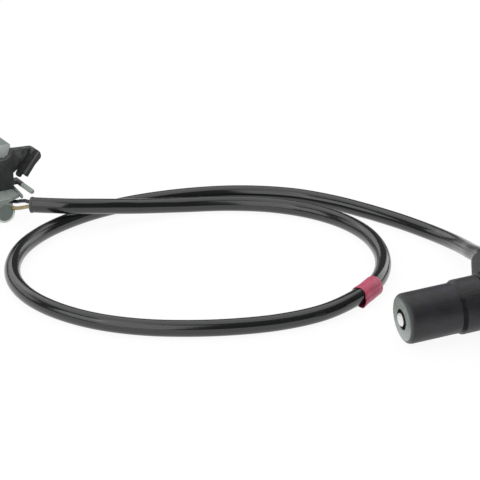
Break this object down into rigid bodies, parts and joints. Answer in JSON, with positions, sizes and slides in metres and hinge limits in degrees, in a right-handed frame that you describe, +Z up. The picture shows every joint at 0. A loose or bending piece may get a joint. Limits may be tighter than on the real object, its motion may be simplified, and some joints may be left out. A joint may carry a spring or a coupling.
{
  "type": "transmission speed sensor",
  "caption": "Inductive speed sensor with a stepped round nose, eared mounting flange and side outlet on a looped black lead that ends in a small grey clip-on connector.",
  "frame": {"origin": "centre of the sensor head's footprint on the table, the lead and connector left out", "axes": "+Z up from the table, the nose of the head points along -X and its outlet boot points along +Y"},
  "size_m": [0.1707, 0.2199, 0.0263],
  "materials": {
    "black_plastic": "moulded glass-filled nylon, satin",
    "pole_steel": "turned bright steel",
    "amber_nylon": "natural nylon",
    "copper_wire": "enamelled copper wire, wound",
    "magnet_steel": "sintered magnet, plated",
    "terminal_brass": "stamped brass",
    "resin": "potting resin",
    "seal_rubber": "moulded seal rubber",
    "bush_steel": "zinc-plated steel",
    "boot_rubber": "moulded rubber boot",
    "cable_black": "glossy soft cable jacket",
    "crimson_band": "shrunk plastic sleeve",
    "pale_sleeve": "pale clear sleeve",
    "grey_plastic": "moulded grey-green plastic",
    "olive_rubber": "soft seal rubber",
    "tinned_contact": "tinned contact",
    "pale_plastic": "moulded pale grey plastic",
    "core_mustard": "insulated core, dull yellow",
    "core_navy": "insulated core, dark blue"
  },
  "bodies": {
    "root": {"sensor_housing": "black_plastic", "pole_pin": "pole_steel", "coil_bobbin": "amber_nylon", "coil_winding": "copper_wire", "magnet": "magnet_steel", "coil_terminal_upper": "terminal_brass", "coil_terminal_lower": "terminal_brass", "potting_fill": "resin", "rear_cap": "black_plastic", "seal_ring": "seal_rubber", "mounting_bush": "bush_steel", "cable_boot": "boot_rubber", "cable_jacket": "cable_black", "id_band": "crimson_band", "jacket_end_ring": "pale_sleeve", "connector_housing": "grey_plastic", "wire_seal_signal": "olive_rubber", "wire_seal_ground": "olive_rubber", "contact_signal": "tinned_contact", "contact_ground": "tinned_contact", "terminal_retainer": "pale_plastic", "clip_bracket": "black_plastic", "clip_tongue_tip": "pale_plastic", "core_signal": "core_mustard", "core_ground": "core_navy"}
  },
  "joints": []
}
